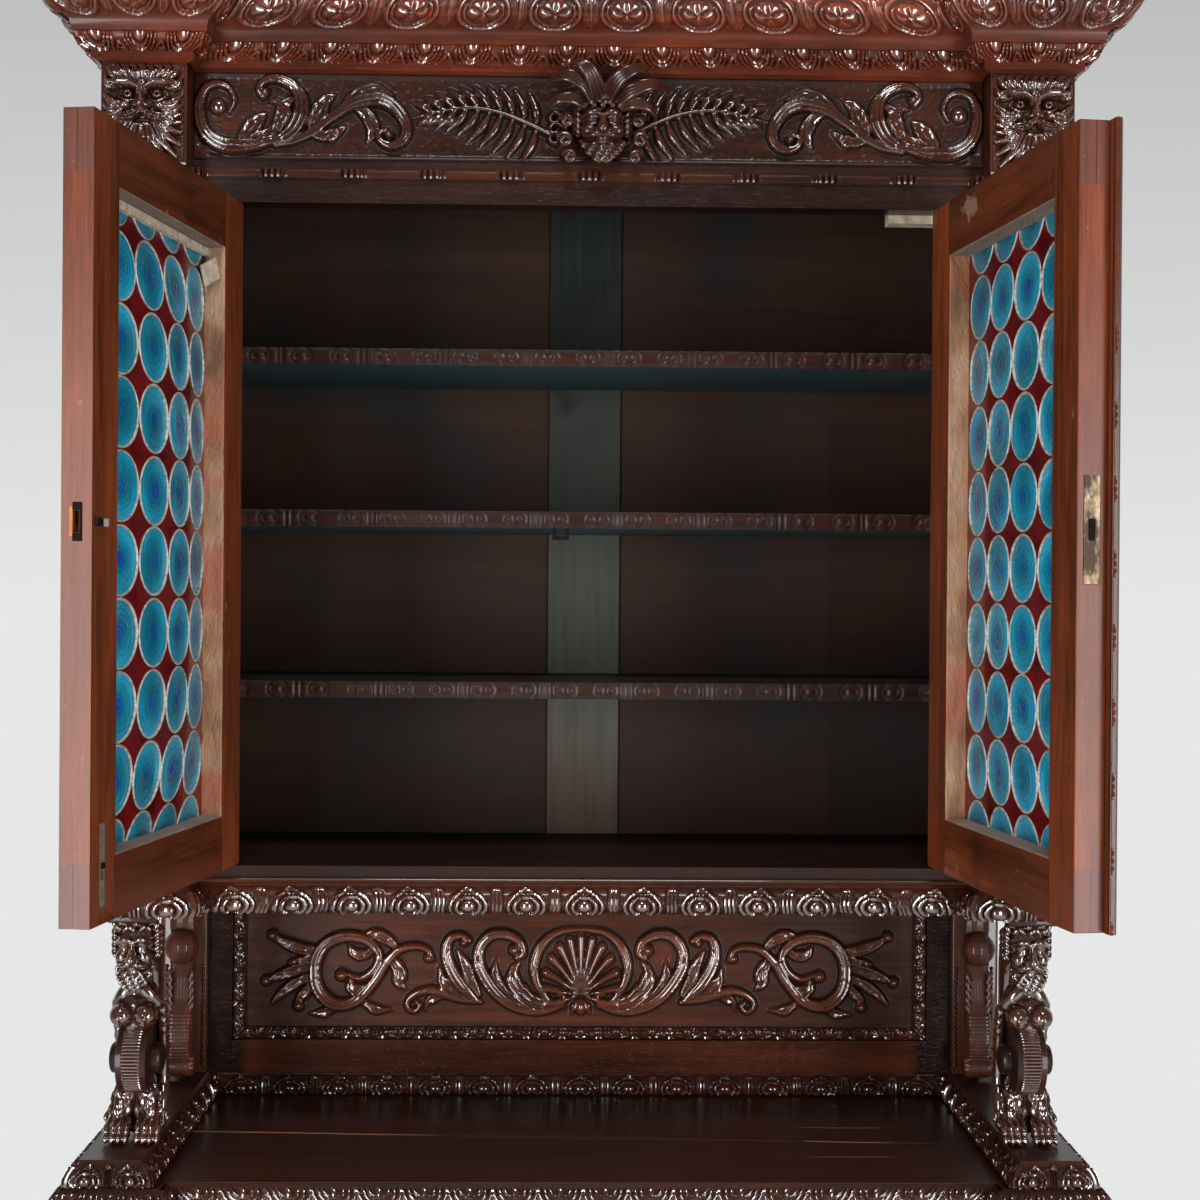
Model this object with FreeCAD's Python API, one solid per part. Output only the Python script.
"""Carved walnut buffet: a base cupboard, an open niche with two carved figures and a glazed upper cupboard.

Millimetres, +X right, +Y to the wall, +Z up. The origin is the middle of the back's foot, where the wall
meets the floor. The two glazed doors are drawn open, and everything else is drawn shut.
"""

import os

import FreeCAD
import Part
from FreeCAD import Rotation, Vector

# Depths from the wall and the steps forward of the corners
UPPER_DEPTH = 345.0
CORNER_STEP = 41.0
WORKTOP_OVERHANG = 84.0
WORKTOP_CORNER_STEP = 26.0
BASE_OVERHANG = 72.0

# Heights of the base, from the floor up
PLINTH_H = 110.0
PLINTH_T = 46.0
PLINTH_FOOT = 20.0
BASE_BODY_TOP = 872.0
WORKTOP_T = 28.0
WORKTOP_LIP = 20.0
WORKTOP_EDGE_DROP = 18.0
DRAWER_FRONT_H = 92.0
RAIL_H = 22.0

# Widths
UPPER_HALF_W = 612.0
CORNER_W = 107.0
JAMB_W = 27.5
BASE_SIDE_STEP = 6.0
BASE_POST_W = 103.0
WORKTOP_SIDE_STEP = 18.0
WORKTOP_CORNER_W = 115.0
MUNTIN_W = 60.0

# Boards
SIDE_T = 20.0
BACK_T = 12.0
BOARD_T = 24.0
SHELF_T = 22.0
POST_DEPTH = 37.0
CLEAT = 20.0

# The niche between the two bodies
NICHE_H = 320.0
FIGURE_PLINTH_H = 33.0
FIGURE_PLINTH_W = 105.0
FIGURE_PLINTH_SPLAY = 13.0
FIGURE_PLINTH_FRONT = 116.0
NICHE_FRAME_T = 23.0
NICHE_PANEL_SET = 8.0
NICHE_PANEL_T = 10.0
NICHE_BOTTOM_RAIL = 78.0
NICHE_TOP_RAIL = 40.0
NICHE_STILE_W = 107.0
NICHE_BEAD_W = 18.0
NICHE_BEAD_T = 14.0
NICHE_FOOT_H = 30.0
NICHE_FOOT_T = 11.0
PILASTER_W = 54.0
PILASTER_T = 44.0

# Carved figures
FIGURE_SIDE_SET = 45.0
FIGURE_W = 62.0
HEAD_W = 62.0
HEAD_D = 74.0
HEAD_H = 88.0
NECK_R = 23.0
BREAST_R = 19.0
DRUM_R = 40.0
DRUM_RISE = 104.0
DRUM_EYE_R = 24.0
DRUM_EYE_T = 5.0
PAW_L = 66.0
PAW_W = 33.0
PAW_H = 40.0
PAW_REACH = 42.0
CAP_T = 12.0
BRACKET_L = 96.0
BRACKET_W = 44.0
BALL_R = 19.0

# The upper cupboard
WAIST_H = 43.0
WAIST_OUT = 25.0
SILL_H = 58.0
OPENING_H = 846.0
HEAD_RAIL_H = 182.0
BEAD_RISE = 30.0
BEAD_H = 13.0
BEAD_T = 9.0
CAPITAL_H = 14.0
CAPITAL_OUT = 6.0
MASK_BLOCK_RISE = 36.0
SHELF_SPACES = (212.0, 201.0, 189.0)
SHELF_SET = 51.0
EDGE_STRIP_T = 6.0
BACK_PLANK_W = 103.0
BACK_PLANK_T = 18.0
CORNER_BLOCK = (62.0, 30.0, 20.0)
CORNER_BLOCK_SET = 53.5

# Cornice section: how far each band comes forward and how high it is
FASCIA_H = 18.0
FASCIA_OUT = 10.0
EGG_H = 19.0
EGG_OUT = 30.0
COVE_H = 9.0
COVE_OUT = 38.0
LEAF_H = 40.0
LEAF_OUT = 70.0
FILLET_H = 18.0
FILLET_OUT = 78.0
CORNICE_SEAT = 22.0

# Glazed doors
DOOR_T = 33.0
DOOR_SET = 4.0
DOOR_GAP = 4.0
STILE_W = 67.0
DOOR_LEFT_OPEN = 98.5
DOOR_RIGHT_OPEN = 97.0
HINGE_GAP = 2.0
MEETING_GAP = 3.0
HINGE_R = 4.0
HINGE_PIN_R = 2.0
HINGE_PIN_CLEARANCE = 0.06
HINGE_H = 64.0
HINGE_LEAF_T = 0.9
HINGE_LEAF_D = 26.0
HINGE_STANDOFF = 0.3
HINGE_RISE = 110.0
GLAZING_SET = 27.0
GLAZING_BEAD_W = 28.0
GLAZING_BEAD_OUT = 12.0
GLAZING_LIP = 8.0
ASTRAGAL_W = 26.0
ASTRAGAL_T = 12.0
ROUNDEL_MARGIN = 10.0
CAME_APART = 1.0
CAME_W = 3.0
CAME_T = 5.0
ROUNDEL_T = 4.0
QUARRY_T = 2.4
GLASS_FIT = 0.5
ROUNDEL_COLUMNS = 4

# Lock, bolt and hook of the glazed doors
LOCK_RISE = 416.0
LOCK_PLATE = (112.0, 17.0, 2.0)
LOCK_CASE = (70.0, 44.0, 13.0)
BOLT_H = 22.0
BOLT_T = 7.0
BOLT_L = 34.0
BOLT_THROW = 10.0
SLIDE_FIT = 0.4
KEYHOLE_R = 2.5
SCUTCHEON_R = 13.0
SCUTCHEON_T = 2.0
FASTENER_INSET = 32.0
FLUSH_PLATE = (87.0, 14.0, 2.5)
FLUSH_RISE = 18.0
FLUSH_BAR_W = 7.0
FLUSH_BAR_T = 4.0
FLUSH_BAR_L = 70.0
FLUSH_KNOB = 6.0
FLUSH_THROW = 11.0
HOOK_RISE = 416.0
HOOK_L = 30.0
HOOK_W = 8.0
HOOK_T = 3.0
HOOK_PIN_R = 2.0
HOOK_PIN_L = 10.0
STAPLE_W = 22.0
STAPLE_DROP = 15.0
STAPLE_T = 5.0

# Base doors and drawers
BASE_DOOR_T = 24.0
BASE_GAP = 2.0
BASE_STILE_W = 72.0
BASE_PANEL_T = 11.0
PIVOT_R = 4.0
PIVOT_DEPTH = 14.0
PIVOT_CLEARANCE = 0.06
DRAWER_WALL = 12.0
DRAWER_BACK_GAP = 24.0
DRAWER_LIFT = 0.3
KNOB_R = 17.0
KNOB_NECK_R = 8.0
KNOB_L = 32.0

# Levels and planes that follow
WORKTOP_TOP = BASE_BODY_TOP + WORKTOP_T
FIGURE_FOOT = WORKTOP_TOP + FIGURE_PLINTH_H
UPPER_FOOT = WORKTOP_TOP + NICHE_H
SILL_TOP = UPPER_FOOT + SILL_H
OPENING_TOP = SILL_TOP + OPENING_H
BODY_TOP = OPENING_TOP + HEAD_RAIL_H
MASK_FOOT = OPENING_TOP + MASK_BLOCK_RISE
CORNICE_FOOT = BODY_TOP - FASCIA_H
CORNICE_TOP = CORNICE_FOOT + FASCIA_H + EGG_H + COVE_H + LEAF_H + FILLET_H
FRONT = -UPPER_DEPTH
CORNER_FRONT = FRONT - CORNER_STEP
BASE_HALF_W = UPPER_HALF_W + BASE_SIDE_STEP
WORKTOP_HALF_W = UPPER_HALF_W + WORKTOP_SIDE_STEP
CORNER_INSET = UPPER_HALF_W - CORNER_W
NICHE_STILE_INSET = UPPER_HALF_W - NICHE_STILE_W
FIGURE_X = UPPER_HALF_W - FIGURE_SIDE_SET
FIGURE_PLINTH_INSET = WORKTOP_HALF_W - FIGURE_PLINTH_W
POST_BACK = FRONT + POST_DEPTH
WORKTOP_FRONT = FRONT - WORKTOP_OVERHANG
WORKTOP_CORNER_FRONT = WORKTOP_FRONT - WORKTOP_CORNER_STEP
WORKTOP_CORNER_INSET = WORKTOP_HALF_W - WORKTOP_CORNER_W
BASE_FRONT = FRONT - BASE_OVERHANG
BASE_CORNER_FRONT = BASE_FRONT - WORKTOP_CORNER_STEP
BASE_POST_INSET = BASE_HALF_W - BASE_POST_W
BASE_POST_BACK = BASE_FRONT + POST_DEPTH
BASE_INNER = BASE_HALF_W - SIDE_T
UPPER_INNER = UPPER_HALF_W - SIDE_T
NICHE_FRONT = -NICHE_FRAME_T
DOOR_FOOT = SILL_TOP + DOOR_GAP
DOOR_TOP = OPENING_TOP - DOOR_GAP
DOOR_FRONT = FRONT + DOOR_SET
DOOR_BACK = DOOR_FRONT + DOOR_T
JAMB_INSET = CORNER_INSET - JAMB_W
CORNER_BLOCK_X = JAMB_INSET - CORNER_BLOCK_SET
HINGE_EDGE = JAMB_INSET - HINGE_GAP
HINGE_X = JAMB_INSET - HINGE_GAP / 2
HINGE_Y = DOOR_FRONT - HINGE_R - HINGE_STANDOFF
SIGHT_W = HINGE_EDGE - MEETING_GAP / 2 - 2 * STILE_W
SIGHT_H = DOOR_TOP - DOOR_FOOT - 2 * STILE_W
ROUNDEL_PITCH = (SIGHT_W - 2 * ROUNDEL_MARGIN) / ROUNDEL_COLUMNS
ROUNDEL_ROWS = int(SIGHT_H // ROUNDEL_PITCH)
ROUNDEL_R = (ROUNDEL_PITCH - CAME_APART) / 2 - CAME_W
DRAWER_TOP = BASE_BODY_TOP - RAIL_H
DRAWER_RAIL_TOP = DRAWER_TOP - DRAWER_FRONT_H - 2 * BASE_GAP
BASE_FLOOR_TOP = PLINTH_H + RAIL_H
BASE_DOOR_TOP = DRAWER_RAIL_TOP - RAIL_H
SHELF_LEVELS = [SILL_TOP + sum(SHELF_SPACES[: i + 1]) + i * SHELF_T for i in range(len(SHELF_SPACES))]

UP = Vector(0, 0, 1)
REACH = 6000.0


def box(x0, x1, y0, y1, z0, z1):
    return Part.makeBox(x1 - x0, y1 - y0, z1 - z0, Vector(x0, y0, z0))


def mirrored(shape):
    return shape.mirror(Vector(0, 0, 0), Vector(1, 0, 0))


def both_sides(shape):
    return [shape, mirrored(shape)]


def group(solids):
    return Part.makeCompound(solids)


def outline(start, *moves):
    """Closed face in the XY plane: each move is a corner, or the middle and end of an arc."""
    edges = []
    here = Vector(*start)
    for move in moves + (start,):
        if isinstance(move[0], tuple):
            middle, end = Vector(*move[0]), Vector(*move[1])
            edges.append(Part.Arc(here, middle, end).toShape())
        else:
            end = Vector(*move)
            edges.append(Part.makeLine(here, end))
        here = end
    return Part.Face(Part.Wire(edges))


def mitred_run(path, section, closed=False):
    """Pieces of moulding along a plan path; the section's first axis points to the right of the path."""
    count = len(path) if closed else len(path) - 1
    corners = [Vector(x, y, 0) for x, y in path]
    ends = [(corners[i], corners[(i + 1) % len(corners)]) for i in range(count)]
    headings = [(b - a).normalize() for a, b in ends]
    pieces = []
    for i, (a, b) in enumerate(ends):
        along = headings[i]
        right = along.cross(UP)
        before = headings[i - 1] if closed or i else along
        after = headings[(i + 1) % count] if closed or i + 1 < count else along
        turn = FreeCAD.Matrix(
            right.x, 0, -along.x, a.x, right.y, 0, -along.y, a.y, 0, 1, 0, 0, 0, 0, 0, 1
        )
        face = section.transformGeometry(turn)
        face.translate(-along * REACH / 4)
        bar = face.extrude(along * (REACH / 2 + (b - a).Length))
        bar = bar.cut(half_space(a, -(before + along)))
        pieces.append(bar.cut(half_space(b, along + after)))
    return pieces


def half_space(point, normal):
    """A block that fills everything on the normal's side of a plane."""
    block = box(-REACH, REACH, -REACH, REACH, 0, REACH)
    block.Placement = FreeCAD.Placement(point, Rotation(UP, normal))
    return block


def stood_up(shape, y):
    """Turns a piece drawn in plan to stand in the XZ plane with its height to the front, from plane y."""
    turned = shape.copy()
    turned.rotate(Vector(0, 0, 0), Vector(1, 0, 0), 90)
    turned.translate(Vector(0, y, 0))
    return turned


def corner_path(half_w, inset, front, corner_front):
    """Plan line round the left side, the two corner breaks, the middle and the right side."""
    right = [(inset, front), (inset, corner_front), (half_w, corner_front), (half_w, 0)]
    left = [(-x, y) for x, y in reversed(right)]
    return left + right


def raised(section, z):
    lifted = section.copy()
    lifted.translate(Vector(0, z, 0))
    return lifted


def base_plinth():
    section = outline(
        (-PLINTH_T, 0),
        (PLINTH_FOOT, 0),
        (PLINTH_FOOT, PLINTH_H * 0.6),
        ((PLINTH_FOOT * 0.35, PLINTH_H * 0.72), (0, PLINTH_H)),
        (-PLINTH_T, PLINTH_H),
    )
    path = corner_path(BASE_HALF_W, BASE_POST_INSET, BASE_FRONT, BASE_CORNER_FRONT)
    inner = BASE_HALF_W - PLINTH_T
    return group(mitred_run(path, section) + [box(-inner, inner, -SIDE_T, 0, 0, PLINTH_H)])


def base_boards():
    floor = box(-BASE_INNER, BASE_INNER, BASE_POST_BACK, -BACK_T, PLINTH_H, BASE_FLOOR_TOP)
    middle = (BASE_FLOOR_TOP + BASE_DOOR_TOP) / 2
    shelf_front = BASE_POST_BACK + CLEAT
    shelf = box(-BASE_INNER, BASE_INNER, shelf_front, -BACK_T, middle, middle + SHELF_T)
    cleat = box(BASE_INNER - CLEAT, BASE_INNER, shelf_front, -BACK_T, middle - CLEAT, middle)
    return group([floor, shelf] + both_sides(cleat))


def base_panels():
    side = box(BASE_INNER, BASE_HALF_W, BASE_POST_BACK, 0, PLINTH_H, BASE_BODY_TOP)
    back = box(-BASE_INNER, BASE_INNER, -BACK_T, 0, PLINTH_H, BASE_BODY_TOP)
    return group(both_sides(side) + [back])


def base_posts():
    post = box(BASE_POST_INSET, BASE_HALF_W, BASE_CORNER_FRONT, BASE_POST_BACK, PLINTH_H, BASE_BODY_TOP)
    half = MUNTIN_W / 2
    lower = box(-half, half, BASE_FRONT, BASE_POST_BACK, BASE_FLOOR_TOP, BASE_DOOR_TOP)
    upper = box(-half, half, BASE_FRONT, BASE_POST_BACK, DRAWER_RAIL_TOP, DRAWER_TOP)
    return group(both_sides(post) + [lower, upper])


def base_rails():
    def rail(foot):
        return box(-BASE_POST_INSET, BASE_POST_INSET, BASE_FRONT, BASE_POST_BACK, foot, foot + RAIL_H)

    bored = rail(PLINTH_H).cut(group(pivot_pins(0)))
    drilled = rail(BASE_DOOR_TOP).cut(group(pivot_pins(0)))
    return group([bored, drilled, rail(DRAWER_TOP)])


def drawer_runners():
    outer = box(
        BASE_POST_INSET - 2 * CLEAT, BASE_INNER, BASE_POST_BACK, -BACK_T, BASE_DOOR_TOP, DRAWER_RAIL_TOP
    )
    middle = MUNTIN_W
    inner = box(-middle, middle, BASE_POST_BACK, -BACK_T, BASE_DOOR_TOP, DRAWER_RAIL_TOP)
    return group(both_sides(outer) + [inner])


def worktop_boards():
    """Three boards laid side by side, with breaks at the front corners."""
    seam_front, seam_back = FRONT + UPPER_DEPTH * 0.22, FRONT + UPPER_DEPTH * 0.62
    half, inset = WORKTOP_HALF_W, WORKTOP_CORNER_INSET
    face = outline(
        (-half, seam_front),
        (-half, WORKTOP_CORNER_FRONT),
        (-inset, WORKTOP_CORNER_FRONT),
        (-inset, WORKTOP_FRONT),
        (inset, WORKTOP_FRONT),
        (inset, WORKTOP_CORNER_FRONT),
        (half, WORKTOP_CORNER_FRONT),
        (half, seam_front),
    )
    front = face.extrude(UP * WORKTOP_T)
    front.translate(UP * BASE_BODY_TOP)
    middle = box(-half, half, seam_front, seam_back, BASE_BODY_TOP, WORKTOP_TOP)
    return group([front, middle, box(-half, half, seam_back, 0, BASE_BODY_TOP, WORKTOP_TOP)])


def worktop_edge():
    lip = WORKTOP_LIP / 2
    drop = WORKTOP_T + WORKTOP_EDGE_DROP
    section = outline(
        (0, 0),
        (lip, 0),
        (lip, -5),
        ((WORKTOP_LIP, -drop / 2), (lip, 5 - drop)),
        (lip, -drop),
        (0, -drop),
    )
    path = corner_path(WORKTOP_HALF_W, WORKTOP_CORNER_INSET, WORKTOP_FRONT, WORKTOP_CORNER_FRONT)
    return group(mitred_run(path, raised(section, WORKTOP_TOP)))


def figure_plinths():
    """Long blocks on the worktop, moulded on the front and on both long sides."""
    splay, height = FIGURE_PLINTH_SPLAY, FIGURE_PLINTH_H

    def section(width_0, width_1, splay_1):
        bow = ((width_0 + splay * 0.25, height * 0.62), (width_0 + splay, height))
        moves = [(width_0, 6), bow, (width_1 - splay_1, height)]
        if splay_1:
            moves.append(((width_1 - splay * 0.25, height * 0.62), (width_1, 6)))
        return outline((width_0, 0), *moves, (width_1, 0))

    inset, depth = FIGURE_PLINTH_INSET, FIGURE_PLINTH_FRONT + UPPER_DEPTH - NICHE_FRAME_T
    across = section(inset, inset + FIGURE_PLINTH_W, splay)
    across.rotate(Vector(0, 0, 0), Vector(1, 0, 0), 90)
    along = section(0, depth, 0)
    along.rotate(Vector(0, 0, 0), Vector(1, 0, 0), 90)
    along.rotate(Vector(0, 0, 0), UP, 90)
    block = across.extrude(Vector(0, depth, 0)).common(along.extrude(Vector(REACH, 0, 0)))
    block.translate(Vector(0, FRONT - FIGURE_PLINTH_FRONT, WORKTOP_TOP))
    return group(both_sides(block))


def ball(centre, width, depth, height):
    """An egg-shaped mass with its own width, depth and height."""
    mass = Part.makeSphere(1.0)
    sized = FreeCAD.Matrix()
    sized.scale(Vector(width / 2, depth / 2, height / 2))
    mass = mass.transformGeometry(sized)
    mass.translate(centre)
    return mass


def figure_bracket():
    """The figure's back: an S-shaped stem from the plinth up to the cap."""
    rise = UPPER_FOOT - FIGURE_FOOT - CAP_T
    length = BRACKET_L
    face = outline(
        (0, 0),
        (length, 0),
        ((length * 0.62, rise * 0.3), (length * 0.8, rise * 0.6)),
        ((length * 0.96, rise * 0.78), (length, rise)),
        (length * 0.2, rise),
        ((length * 0.3, rise * 0.6), (length * 0.1, rise * 0.3)),
    )
    face.rotate(Vector(0, 0, 0), Vector(1, 0, 0), 90)
    face.rotate(Vector(0, 0, 0), UP, 90)
    stem = face.extrude(Vector(BRACKET_W, 0, 0))
    stem.translate(Vector(FIGURE_X - BRACKET_W / 2, FRONT, FIGURE_FOOT))
    return stem


def figure():
    """A winged beast standing under the corner: head, breast, fluted scroll, paws and curved back."""
    front = FRONT - PAW_REACH
    cap = box(
        FIGURE_X - HEAD_W / 2, FIGURE_X + HEAD_W / 2, front, FRONT + BRACKET_L, UPPER_FOOT - CAP_T, UPPER_FOOT
    )
    head_foot = UPPER_FOOT - CAP_T / 2 - HEAD_H
    head_y = front + HEAD_D / 2
    head = ball(Vector(FIGURE_X, head_y, head_foot + HEAD_H / 2), HEAD_W, HEAD_D, HEAD_H)
    drum_z = FIGURE_FOOT + DRUM_RISE
    neck = Part.makeCylinder(NECK_R, head_foot + HEAD_H / 2 - drum_z, Vector(FIGURE_X, head_y, drum_z))
    drum = Part.makeCylinder(
        DRUM_R, FIGURE_W, Vector(FIGURE_X - FIGURE_W / 2, head_y, drum_z), Vector(1, 0, 0)
    )
    eyes = Part.makeCylinder(
        DRUM_EYE_R,
        FIGURE_W + 2 * DRUM_EYE_T,
        Vector(FIGURE_X - FIGURE_W / 2 - DRUM_EYE_T, head_y, drum_z),
        Vector(1, 0, 0),
    )
    breast_z = drum_z + DRUM_R + BREAST_R / 2
    masses = [cap, head, neck, drum, eyes, figure_bracket()]
    for side in (-1, 1):
        breast = Vector(FIGURE_X + side * BREAST_R * 0.85, front + BREAST_R, breast_z)
        masses.append(Part.makeSphere(BREAST_R, breast))
        edge = FIGURE_X + (side - 1) * PAW_W / 2
        paw = box(edge, edge + PAW_W, front, front + PAW_L, FIGURE_FOOT, FIGURE_FOOT + PAW_H)
        masses.append(paw.makeFillet(PAW_H * 0.3, [e for e in paw.Edges if e.BoundBox.ZMin > FIGURE_FOOT]))
    leg_z = FIGURE_FOOT + PAW_H / 2
    masses.append(
        box(
            FIGURE_X - PAW_W * 0.8,
            FIGURE_X + PAW_W * 0.8,
            front + PAW_L / 4,
            FRONT + BRACKET_L / 4,
            leg_z,
            drum_z,
        )
    )
    body = masses[0].fuse(masses[1:])
    return body.removeSplitter()


def rear_pilasters():
    foot, top = FIGURE_FOOT, UPPER_FOOT
    y0 = NICHE_FRONT - PILASTER_T
    shaft = box(FIGURE_X - PILASTER_W / 2, FIGURE_X + PILASTER_W / 2, y0, NICHE_FRONT, foot, top)
    knob = Part.makeCylinder(
        BALL_R, PILASTER_W, Vector(FIGURE_X - PILASTER_W / 2, y0, top - 2 * BALL_R), Vector(1, 0, 0)
    )
    return group(both_sides(shaft.fuse(knob).removeSplitter()))


def niche_frame():
    top, foot = UPPER_FOOT, WORKTOP_TOP
    inset = NICHE_STILE_INSET
    stile = box(inset, UPPER_INNER, NICHE_FRONT, 0, foot, top)
    lower = box(-inset, inset, NICHE_FRONT, 0, foot, foot + NICHE_BOTTOM_RAIL)
    upper = box(-inset, inset, NICHE_FRONT, 0, top - NICHE_TOP_RAIL, top)
    return group(both_sides(stile) + [lower, upper])


def niche_field():
    return WORKTOP_TOP + NICHE_BOTTOM_RAIL, UPPER_FOOT - NICHE_TOP_RAIL


def niche_panel():
    foot, top = niche_field()
    y0 = NICHE_FRONT + NICHE_PANEL_SET
    return box(-NICHE_STILE_INSET, NICHE_STILE_INSET, y0, y0 + NICHE_PANEL_T, foot, top)


def rectangle(half_w, foot, top):
    return [(-half_w, foot), (half_w, foot), (half_w, top), (-half_w, top)]


def niche_panel_moulding():
    foot, top = niche_field()
    half = NICHE_BEAD_W / 2
    section = outline(
        (0, 0),
        (0, NICHE_BEAD_T / 2),
        ((-half, NICHE_BEAD_T), (-NICHE_BEAD_W, NICHE_BEAD_T / 2)),
        (-NICHE_BEAD_W, 0),
    )
    strips = mitred_run(rectangle(NICHE_STILE_INSET, foot, top), section, closed=True)
    return group([stood_up(s, NICHE_FRONT + NICHE_PANEL_SET) for s in strips])


def niche_foot_moulding():
    face = outline(
        (0, 0),
        (-NICHE_FOOT_T, 0),
        (-NICHE_FOOT_T, 6),
        ((-NICHE_FOOT_T * 0.8, NICHE_FOOT_H * 0.7), (-2, NICHE_FOOT_H)),
        (0, NICHE_FOOT_H),
    )
    face.rotate(Vector(0, 0, 0), Vector(1, 0, 0), 90)
    face.rotate(Vector(0, 0, 0), UP, 90)
    strip = face.extrude(Vector(2 * FIGURE_PLINTH_INSET, 0, 0))
    strip.translate(Vector(-FIGURE_PLINTH_INSET, NICHE_FRONT, WORKTOP_TOP))
    return strip


def upper_floor():
    """Sill rail, floor board and the two rails that carry the sides."""
    sill = box(-CORNER_INSET, CORNER_INSET, FRONT, POST_BACK, UPPER_FOOT, SILL_TOP)
    keep = flush_bar(SLIDE_FIT, -FLUSH_THROW - SLIDE_FIT)
    sill = sill.cut(keep)
    floor = box(-UPPER_INNER, UPPER_INNER, POST_BACK, -BACK_T, SILL_TOP - BOARD_T, SILL_TOP)
    bearer = box(CORNER_INSET, UPPER_INNER, POST_BACK, -BACK_T, UPPER_FOOT, SILL_TOP - BOARD_T)
    return group([sill, floor] + both_sides(bearer))


def waist_moulding():
    height, out = WAIST_H, WAIST_OUT
    section = outline(
        (0, 0),
        (out * 0.7, 0),
        (out * 0.85, 6),
        ((out, height * 0.4), (out * 0.6, height * 0.75)),
        (out * 0.3, height - 5),
        (out * 0.3, height),
        (0, height),
    )
    path = corner_path(UPPER_HALF_W, CORNER_INSET, FRONT, CORNER_FRONT)
    return group(mitred_run(path, raised(section, UPPER_FOOT)))


def upper_sides():
    return group(both_sides(box(UPPER_INNER, UPPER_HALF_W, POST_BACK, 0, UPPER_FOOT, BODY_TOP)))


def upper_posts():
    """Corner pilaster with its capital, and the jamb that the door hangs on."""
    shaft = box(CORNER_INSET, UPPER_HALF_W, CORNER_FRONT, POST_BACK, UPPER_FOOT, MASK_FOOT)
    out = CAPITAL_OUT
    capital = box(
        CORNER_INSET, UPPER_HALF_W + out, CORNER_FRONT - out, POST_BACK, MASK_FOOT - CAPITAL_H, MASK_FOOT
    )
    jamb = box(JAMB_INSET, CORNER_INSET, DOOR_FRONT, POST_BACK, SILL_TOP, OPENING_TOP)
    return group(both_sides(shaft.fuse(capital).removeSplitter()) + both_sides(jamb))


def upper_back_boards():
    half = BACK_PLANK_W / 2
    boards = []
    for low, high in zip([SILL_TOP - BOARD_T] + SHELF_LEVELS, SHELF_LEVELS + [CORNICE_FOOT]):
        boards += both_sides(box(half, UPPER_INNER, -BACK_T, 0, low, high))
    foot = box(-UPPER_INNER, UPPER_INNER, -BACK_T, 0, UPPER_FOOT, SILL_TOP - BOARD_T)
    return group(boards + [foot])


def upper_back_plank():
    """Upright plank between the back boards, standing proud of them between floor and ceiling."""
    half = BACK_PLANK_W / 2
    thin = box(-half, half, -BACK_T, 0, SILL_TOP - BOARD_T, CORNICE_FOOT)
    proud = box(-half, half, -BACK_PLANK_T, 0, SILL_TOP, CORNICE_FOOT - BOARD_T)
    return thin.fuse(proud).removeSplitter()


def shelf(level):
    front = FRONT + SHELF_SET
    return box(-UPPER_INNER, UPPER_INNER, front, -BACK_PLANK_T, level, level + SHELF_T)


def shelf_edge_strips():
    front = FRONT + SHELF_SET
    half = UPPER_INNER
    return group([box(-half, half, front - EDGE_STRIP_T, front, z, z + SHELF_T) for z in SHELF_LEVELS])


def shelf_cleats():
    front = FRONT + SHELF_SET
    cleats = []
    for level in SHELF_LEVELS:
        cleats += both_sides(box(UPPER_INNER - CLEAT, UPPER_INNER, front, -BACK_T, level - CLEAT, level))
    return group(cleats)


def frieze_rail():
    return box(-CORNER_INSET, CORNER_INSET, FRONT, POST_BACK, OPENING_TOP, BODY_TOP)


def frieze_bead():
    foot = OPENING_TOP + BEAD_RISE
    return box(-CORNER_INSET, CORNER_INSET, FRONT - BEAD_T, FRONT, foot, foot + BEAD_H)


def mask_block():
    return box(CORNER_INSET, UPPER_HALF_W, CORNER_FRONT, POST_BACK, MASK_FOOT, BODY_TOP)


def cornice():
    """Plain band, egg round, cove, leaf wave and top fillet, seated on the body's top."""
    egg = FASCIA_H + EGG_H
    cove = egg + COVE_H
    leaf = cove + LEAF_H
    top = leaf + FILLET_H
    section = outline(
        (0, 0),
        (FASCIA_OUT, 0),
        (FASCIA_OUT, FASCIA_H),
        ((EGG_OUT * 0.78, FASCIA_H + EGG_H * 0.3), (EGG_OUT, egg)),
        (COVE_OUT, cove),
        ((COVE_OUT + (LEAF_OUT - COVE_OUT) * 0.62, cove + LEAF_H * 0.42), (LEAF_OUT, leaf)),
        (FILLET_OUT, leaf),
        (FILLET_OUT, top),
        (-CORNICE_SEAT, top),
        (-CORNICE_SEAT, FASCIA_H),
        (0, FASCIA_H),
    )
    path = corner_path(UPPER_HALF_W, CORNER_INSET, FRONT, CORNER_FRONT)
    return group(mitred_run(path, raised(section, CORNICE_FOOT)))


def top_boards():
    """The cupboard's ceiling and the dust board inside the cornice."""
    ceiling = box(-UPPER_INNER, UPPER_INNER, POST_BACK, -BACK_T, CORNICE_FOOT - BOARD_T, CORNICE_FOOT)
    half = UPPER_HALF_W - CORNICE_SEAT
    dust = box(-half, half, FRONT + CORNICE_SEAT, 0, CORNICE_TOP - BOARD_T, CORNICE_TOP)
    return group([ceiling, dust])


def corner_block():
    length, depth, height = CORNER_BLOCK
    x0 = CORNER_BLOCK_X - length / 2
    return box(x0, x0 + length, POST_BACK, POST_BACK + depth, OPENING_TOP, OPENING_TOP + height)


def hinge_levels():
    return DOOR_FOOT + HINGE_RISE, DOOR_TOP - HINGE_RISE - HINGE_H


def hinge_barrel(foot, height, radius):
    return Part.makeCylinder(radius, height, Vector(HINGE_X, HINGE_Y, foot))


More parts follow.
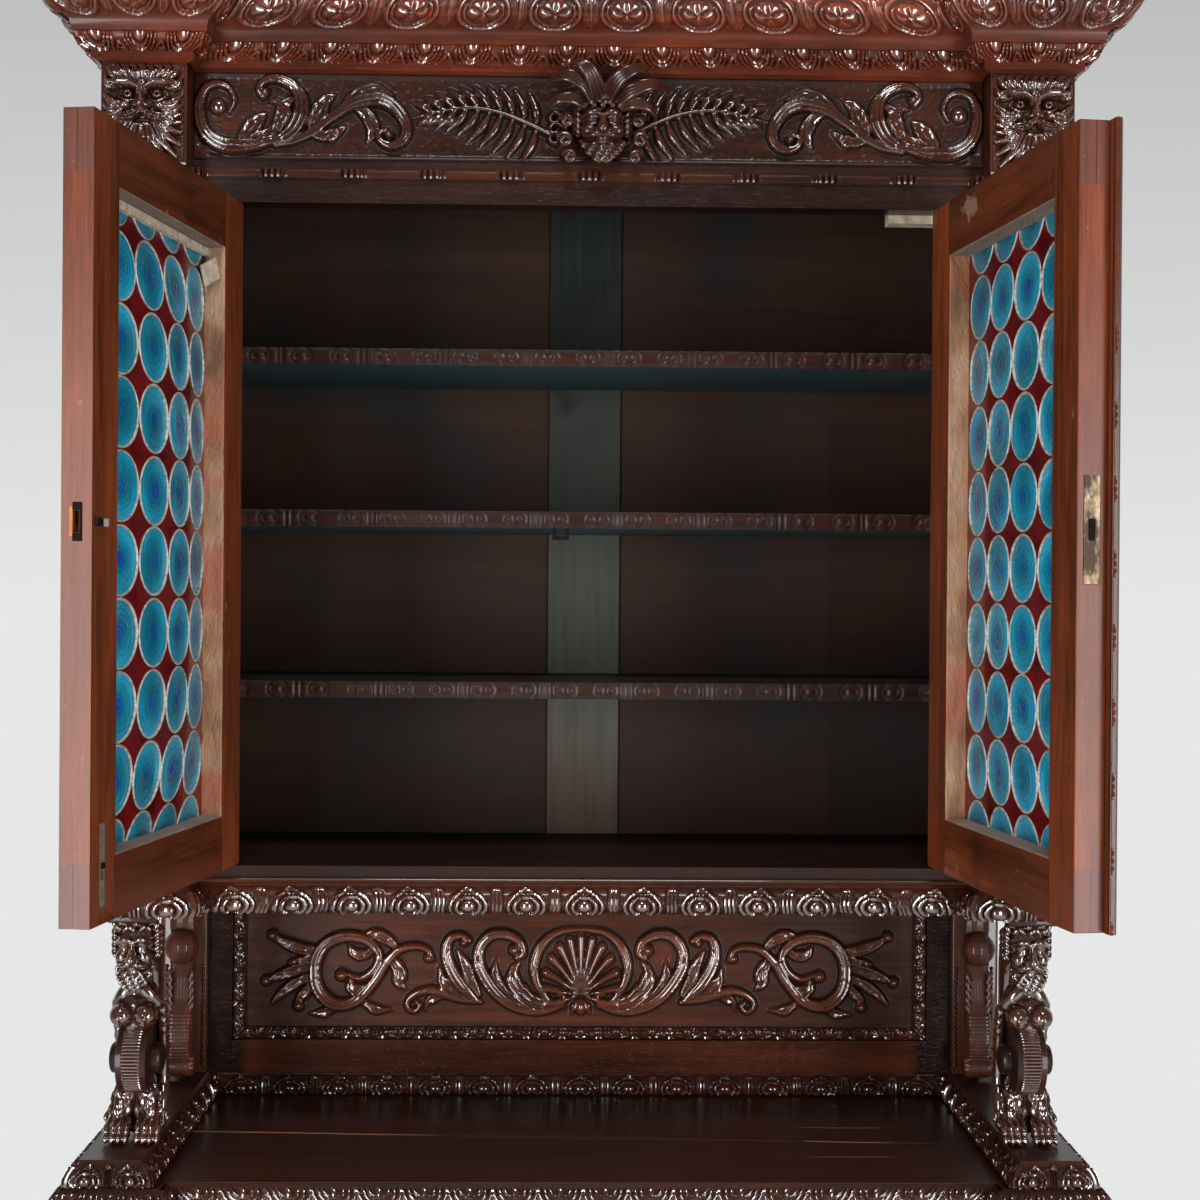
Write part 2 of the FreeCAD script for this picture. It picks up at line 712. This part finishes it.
def hinge_leaf(edge_near, edge_far, foot, barrel_foot):
    """A thin leaf between door and jamb, with a neck to its half of the barrel."""
    leaf = box(edge_near, edge_far, DOOR_FRONT, DOOR_FRONT + HINGE_LEAF_D, foot, foot + HINGE_H)
    neck = box(edge_near, edge_far, HINGE_Y, DOOR_FRONT, barrel_foot, barrel_foot + HINGE_H / 2 - SLIDE_FIT)
    barrel = hinge_barrel(barrel_foot, HINGE_H / 2 - SLIDE_FIT, HINGE_R)
    return leaf, neck, barrel


def frame_hinges():
    leaves = []
    for foot in hinge_levels():
        leaf, neck, barrel = hinge_leaf(JAMB_INSET - HINGE_LEAF_T, JAMB_INSET, foot, foot)
        pin = hinge_barrel(foot, HINGE_H, HINGE_PIN_R)
        leaves += both_sides(leaf.fuse([neck, barrel, pin]).removeSplitter())
    return group(leaves)


def door_hinges():
    """The leaves on the right door, shut."""
    leaves = []
    for foot in hinge_levels():
        upper = foot + HINGE_H / 2 + SLIDE_FIT
        leaf, neck, barrel = hinge_leaf(HINGE_EDGE, HINGE_EDGE + HINGE_LEAF_T, foot, upper)
        bore = hinge_barrel(foot, 2 * HINGE_H, HINGE_PIN_R + HINGE_PIN_CLEARANCE)
        leaves.append(leaf.fuse([neck, barrel]).cut(bore).removeSplitter())
    return group(leaves)


def glazing():
    """Half width and levels of the opening in a door, around its own middle."""
    middle = (HINGE_EDGE + MEETING_GAP / 2) / 2
    return middle, SIGHT_W / 2, DOOR_FOOT + STILE_W, DOOR_TOP - STILE_W


def door_frame(cuts):
    """Two stiles and two rails of the right door, shut, with the fastenings' pockets cut out."""
    inner = MEETING_GAP / 2
    stile_in = box(inner, inner + STILE_W, DOOR_FRONT, DOOR_BACK, DOOR_FOOT, DOOR_TOP)
    stile_out = box(HINGE_EDGE - STILE_W, HINGE_EDGE, DOOR_FRONT, DOOR_BACK, DOOR_FOOT, DOOR_TOP)
    rail_0, rail_1 = inner + STILE_W, HINGE_EDGE - STILE_W
    foot_rail = box(rail_0, rail_1, DOOR_FRONT, DOOR_BACK, DOOR_FOOT, DOOR_FOOT + STILE_W)
    top_rail = box(rail_0, rail_1, DOOR_FRONT, DOOR_BACK, DOOR_TOP - STILE_W, DOOR_TOP)
    return group([stile_in.cut(cuts), stile_out, foot_rail, top_rail])


def glazing_bead():
    """Moulding round the glass on the door's outer face, with a lip that the glass rests against."""
    middle, half, foot, top = glazing()
    lip = DOOR_T - GLAZING_SET - CAME_T / 2
    over = GLAZING_BEAD_W - GLAZING_LIP
    section = outline(
        (over, 0),
        (over, GLAZING_BEAD_OUT / 2),
        ((over / 2, GLAZING_BEAD_OUT), (-GLAZING_LIP, GLAZING_BEAD_OUT / 2)),
        (-GLAZING_LIP, -lip),
        (0, -lip),
        (0, 0),
    )
    strips = mitred_run(rectangle(half, foot, top), section, closed=True)
    return [moved(stood_up(s, DOOR_FRONT), middle) for s in strips]


def moved(shape, x):
    shifted = shape.copy()
    shifted.translate(Vector(x, 0, 0))
    return shifted


def astragal():
    """Cover strip on the right door, over the meeting stiles."""
    half = ASTRAGAL_W / 2
    face = outline(
        (-half, 0),
        (-half, ASTRAGAL_T / 2),
        ((0, ASTRAGAL_T), (half, ASTRAGAL_T / 2)),
        (half, 0),
    )
    strip = face.extrude(UP * (DOOR_TOP - DOOR_FOOT))
    strip.rotate(Vector(0, 0, 0), Vector(1, 0, 0), 180)
    strip.translate(Vector(MEETING_GAP / 2, DOOR_FRONT, DOOR_TOP))
    return strip.cut(box(-REACH, MEETING_GAP / 2, DOOR_FRONT - HINGE_STANDOFF, DOOR_FRONT, 0, REACH))


def roundel_centres():
    """Grid of whole and cut roundels over the glass."""
    middle, half, foot, top = glazing()
    across = [(i - (ROUNDEL_COLUMNS - 1) / 2) * ROUNDEL_PITCH for i in range(ROUNDEL_COLUMNS)]
    level = (foot + top) / 2
    rows = [level + (i - (ROUNDEL_ROWS + 1) / 2) * ROUNDEL_PITCH for i in range(ROUNDEL_ROWS + 2)]
    return [(middle + x, z) for x in across for z in rows]


def glass_sheet(thickness):
    middle, half, foot, top = glazing()
    half, fit = half - GLASS_FIT, GLASS_FIT
    plane = DOOR_BACK - GLAZING_SET
    y0, y1 = plane - thickness / 2, plane + thickness / 2
    return box(middle - half, middle + half, y0, y1, foot + fit, top - fit)


def discs(radius, thickness):
    plane = DOOR_BACK - GLAZING_SET - thickness / 2
    return [
        Part.makeCylinder(radius, thickness, Vector(x, plane, z), Vector(0, 1, 0))
        for x, z in roundel_centres()
    ]


def roundels():
    sheet = glass_sheet(ROUNDEL_T)
    return group([s for disc in discs(ROUNDEL_R, ROUNDEL_T) for s in disc.common(sheet).Solids])


def cames():
    sheet = glass_sheet(CAME_T)
    rings = []
    for outer, inner in zip(discs(ROUNDEL_R + CAME_W, CAME_T), discs(ROUNDEL_R, CAME_T)):
        rings += outer.cut(inner).common(sheet).Solids
    return group(rings)


def quarries():
    return glass_sheet(QUARRY_T).cut(discs(ROUNDEL_R + CAME_W, QUARRY_T))


def lock_place():
    """Edge, middle of the thickness and level of the lock in the right door, shut."""
    return MEETING_GAP / 2, (DOOR_FRONT + DOOR_BACK) / 2, DOOR_FOOT + LOCK_RISE


def lock_bolt(fit=0.0, length=BOLT_L):
    edge, y, z = lock_place()
    half_t, half_h = BOLT_T / 2 + fit, BOLT_H / 2 + fit
    return box(edge, edge + length + fit, y - half_t, y + half_t, z - half_h, z + half_h)


def lock_block():
    edge, y, z = lock_place()
    height, width, thickness = LOCK_PLATE
    plate = box(edge, edge + thickness, y - width / 2, y + width / 2, z - height / 2, z + height / 2)
    tall, deep, thick = LOCK_CASE
    case = box(edge, edge + deep, y - thick / 2, y + thick / 2, z - tall / 2, z + tall / 2)
    return plate.fuse(case).removeSplitter()


def scutcheon():
    edge, y, z = lock_place()
    centre = Vector(edge + FASTENER_INSET, DOOR_FRONT, z)
    disc = Part.makeCylinder(SCUTCHEON_R, SCUTCHEON_T, centre, Vector(0, -1, 0))
    return disc.cut(keyhole())


def keyhole():
    """The bore from the lock's case out through the door's face and the key plate."""
    edge, y, z = lock_place()
    start = Vector(edge + FASTENER_INSET, y - LOCK_CASE[2] / 2, z)
    return Part.makeCylinder(KEYHOLE_R, start.y - DOOR_FRONT + SCUTCHEON_T, start, Vector(0, -1, 0))


def flush_bar(fit=0.0, drop=0.0):
    """The bolt's bar on the left door, shut, grown by a fit and lowered where asked."""
    x = -MEETING_GAP / 2 - FASTENER_INSET
    half = FLUSH_BAR_W / 2 + fit
    y1 = DOOR_BACK - FLUSH_PLATE[2]
    foot = DOOR_FOOT + drop
    return box(x - half, x + half, y1 - FLUSH_BAR_T - fit, y1, foot, DOOR_FOOT + FLUSH_BAR_L)


def flush_bolt():
    x = -MEETING_GAP / 2 - FASTENER_INSET
    half = FLUSH_KNOB / 2
    z = DOOR_FOOT + FLUSH_BAR_L - FLUSH_KNOB
    y = DOOR_BACK - FLUSH_PLATE[2]
    knob = box(x - half, x + half, y - FLUSH_BAR_T, y + 2 * FLUSH_PLATE[2], z - FLUSH_KNOB, z)
    bar = flush_bar().cut(half_space(Vector(0, y - SLIDE_FIT, 0), Vector(0, 1, 0)))
    return bar.fuse(knob).removeSplitter()


def flush_plate_blank():
    x = -MEETING_GAP / 2 - FASTENER_INSET
    height, width, thickness = FLUSH_PLATE
    foot = DOOR_FOOT + FLUSH_RISE
    return box(x - width / 2, x + width / 2, DOOR_BACK - thickness, DOOR_BACK, foot, foot + height)


def flush_plate():
    """Face plate of the flush bolt, with a slot for its knob."""
    x = -MEETING_GAP / 2 - FASTENER_INSET
    half = FLUSH_KNOB / 2 + SLIDE_FIT
    top = DOOR_FOOT + FLUSH_BAR_L - FLUSH_KNOB + SLIDE_FIT
    foot = top - FLUSH_KNOB - FLUSH_THROW - 2 * SLIDE_FIT
    return flush_plate_blank().cut(box(x - half, x + half, DOOR_BACK - DOOR_T, DOOR_BACK, foot, top))


def hook_place():
    return Vector(-MEETING_GAP / 2 - FASTENER_INSET, DOOR_BACK, DOOR_FOOT + HOOK_RISE)


def hook_pin(clearance=0.0):
    place = hook_place()
    return Part.makeCylinder(HOOK_PIN_R + clearance, HOOK_PIN_L, place, Vector(0, -1, 0))


def door_hook():
    """Turning hook on the inner face of the left door, shut."""
    place = hook_place()
    near, far = place.y + HINGE_STANDOFF, place.y + HINGE_STANDOFF + HOOK_T
    half = HOOK_W / 2
    arm = box(place.x - half, place.x + HOOK_L - half, near, far, place.z - half, place.z + half)
    head = Part.makeCylinder(HOOK_PIN_R, HINGE_STANDOFF, place, Vector(0, 1, 0))
    return arm.fuse([hook_pin(), head]).removeSplitter()


def hook_staple():
    """Iron staple under the middle shelf that the hook catches on."""
    level = SHELF_LEVELS[1]
    x = hook_place().x
    y0 = FRONT + SHELF_SET
    outer = box(x - STAPLE_W / 2, x + STAPLE_W / 2, y0, y0 + STAPLE_T, level - STAPLE_DROP, level)
    gap = STAPLE_W / 2 - STAPLE_T
    return outer.cut(box(x - gap, x + gap, y0 - 1, y0 + 2 * STAPLE_T, level - STAPLE_DROP + STAPLE_T, level))


def left_pockets():
    """What is cut from the left door's meeting stile, in the left door's place."""
    strike = mirrored(lock_bolt(SLIDE_FIT, BOLT_THROW))
    bar = flush_bar(SLIDE_FIT).fuse(flush_plate_blank())
    return strike.fuse([bar, hook_pin(HINGE_PIN_CLEARANCE)])


def hung_left(shape):
    """Swings a shut left piece open about the left hinges."""
    shape.rotate(Vector(-HINGE_X, HINGE_Y, 0), UP, -DOOR_LEFT_OPEN)
    return shape


def hung_right(shape):
    shape.rotate(Vector(HINGE_X, HINGE_Y, 0), UP, DOOR_RIGHT_OPEN)
    return shape


def left_door():
    return {
        "left_door_frame": mirrored(door_frame(mirrored(left_pockets()))),
        "left_door_moulding": mirrored(group(glazing_bead())),
        "left_door_cames": mirrored(cames()),
        "left_door_roundels": mirrored(roundels()),
        "left_door_red_glass": mirrored(quarries()),
        "left_door_hinges": mirrored(door_hinges()),
        "flush_bolt_plate": flush_plate(),
        "flush_bolt": flush_bolt(),
        "door_hook": door_hook(),
    }


def right_door():
    pockets = lock_block().fuse(keyhole())
    lock = lock_block().cut(lock_bolt(SLIDE_FIT))
    return {
        "right_door_frame": door_frame(pockets),
        "right_door_moulding": group(glazing_bead() + [astragal()]),
        "right_door_cames": cames(),
        "right_door_roundels": roundels(),
        "right_door_red_glass": quarries(),
        "right_door_hinges": door_hinges(),
        "door_lock": group([lock, scutcheon()]),
        "lock_bolt": lock_bolt(),
    }


def base_door_box():
    inner = MUNTIN_W / 2 + BASE_GAP
    outer = BASE_POST_INSET - BASE_GAP
    return inner, outer, BASE_FLOOR_TOP + BASE_GAP, BASE_DOOR_TOP - BASE_GAP


def pivot_place():
    inner, outer, foot, top = base_door_box()
    return outer - BASE_DOOR_T / 2, BASE_FRONT + BASE_DOOR_T / 2


def pivot_pins(clearance):
    """Pins at the head and foot of each base door, half in the rail and half in the door."""
    inner, outer, foot, top = base_door_box()
    x, y = pivot_place()
    pins = []
    for level in (foot, top):
        start = Vector(x, y, level - PIVOT_DEPTH)
        pins += both_sides(Part.makeCylinder(PIVOT_R + clearance, 2 * PIVOT_DEPTH, start))
    return pins


def turned_knob(x, z):
    """A turned wooden knob on the base's front plane."""
    face = outline(
        (0, 0),
        (KNOB_NECK_R * 1.4, 0),
        (KNOB_NECK_R, KNOB_L * 0.25),
        ((KNOB_R, KNOB_L * 0.65), (KNOB_NECK_R * 0.6, KNOB_L)),
        (0, KNOB_L),
    )
    knob = face.revolve(Vector(0, 0, 0), Vector(0, 1, 0), 360)
    knob.rotate(Vector(0, 0, 0), UP, 180)
    knob.translate(Vector(x, BASE_FRONT, z))
    return knob


def base_door():
    """The right base door: stiles, rails, a fielded panel and a knob; the hinge edge is round."""
    inner, outer, foot, top = base_door_box()
    y0, y1 = BASE_FRONT, BASE_FRONT + BASE_DOOR_T
    x, y = pivot_place()
    width = BASE_STILE_W
    stile_in = box(inner, inner + width, y0, y1, foot, top)
    stile_out = box(outer - width, x, y0, y1, foot, top)
    heel = Part.makeCylinder(BASE_DOOR_T / 2, top - foot, Vector(x, y, foot))
    stile_out = stile_out.fuse(heel).removeSplitter().cut(group(pivot_pins(PIVOT_CLEARANCE)))
    rails = [
        box(inner + width, outer - width, y0, y1, foot, foot + width),
        box(inner + width, outer - width, y0, y1, top - width, top),
    ]
    middle = (y0 + y1 - BASE_PANEL_T) / 2
    panel = box(inner + width, outer - width, middle, middle + BASE_PANEL_T, foot + width, top - width)
    knob = turned_knob(inner + width / 2, (foot + top) / 2)
    return group([stile_in, stile_out] + rails + [panel, knob])


def drawer():
    """The right drawer: front, two sides, back, bottom and a knob."""
    inner, outer = MUNTIN_W / 2 + BASE_GAP, BASE_POST_INSET - BASE_GAP
    foot, top = DRAWER_RAIL_TOP + DRAWER_LIFT, DRAWER_TOP - BASE_GAP
    front_back = BASE_FRONT + BASE_DOOR_T
    end = -BACK_T - DRAWER_BACK_GAP
    wall_top = top - DRAWER_WALL
    front = box(inner, outer, BASE_FRONT, front_back, foot, top)
    near, far = inner + BASE_GAP, outer - BASE_GAP
    sides = [
        box(near, near + DRAWER_WALL, front_back, end, foot, wall_top),
        box(far - DRAWER_WALL, far, front_back, end, foot, wall_top),
    ]
    x0, x1 = near + DRAWER_WALL, far - DRAWER_WALL
    back = box(x0, x1, end - DRAWER_WALL, end, foot, wall_top)
    bottom = box(x0, x1, front_back, end - DRAWER_WALL, foot, foot + DRAWER_WALL)
    knob = turned_knob((inner + outer) / 2, (foot + top) / 2)
    return group([front] + sides + [back, bottom, knob])


def main():
    os.makedirs("parts", exist_ok=True)
    pieces = {
        "base_plinth": base_plinth(),
        "base_boards": base_boards(),
        "base_panels": base_panels(),
        "base_posts": base_posts(),
        "base_rails": base_rails(),
        "base_door_pins": group(pivot_pins(0)),
        "drawer_runners": drawer_runners(),
        "worktop_boards": worktop_boards(),
        "worktop_edge": worktop_edge(),
        "figure_plinths": figure_plinths(),
        "figure_right": figure(),
        "figure_left": mirrored(figure()),
        "rear_pilasters": rear_pilasters(),
        "niche_frame": niche_frame(),
        "niche_panel": niche_panel(),
        "niche_panel_moulding": niche_panel_moulding(),
        "niche_foot_moulding": niche_foot_moulding(),
        "upper_floor": upper_floor(),
        "waist_moulding": waist_moulding(),
        "upper_sides": upper_sides(),
        "upper_posts": upper_posts(),
        "upper_back_boards": upper_back_boards(),
        "upper_back_plank": upper_back_plank(),
        "shelf_bottom": shelf(SHELF_LEVELS[0]),
        "shelf_middle": shelf(SHELF_LEVELS[1]),
        "shelf_top": shelf(SHELF_LEVELS[2]),
        "shelf_edge_strips": shelf_edge_strips(),
        "shelf_cleats": shelf_cleats(),
        "frieze_rail": frieze_rail(),
        "frieze_bead": frieze_bead(),
        "mask_block_right": mask_block(),
        "mask_block_left": mirrored(mask_block()),
        "cornice": cornice(),
        "top_boards": top_boards(),
        "corner_block": corner_block(),
        "frame_hinges": frame_hinges(),
        "hook_staple": hook_staple(),
        "right_base_door": base_door(),
        "left_base_door": mirrored(base_door()),
        "right_drawer": drawer(),
        "left_drawer": mirrored(drawer()),
    }
    pieces.update({name: hung_left(shape) for name, shape in left_door().items()})
    pieces.update({name: hung_right(shape) for name, shape in right_door().items()})
    for name, shape in pieces.items():
        shape.exportStep(f"parts/{name}.step")
        print(name, len(shape.Solids), shape.isValid())


main()
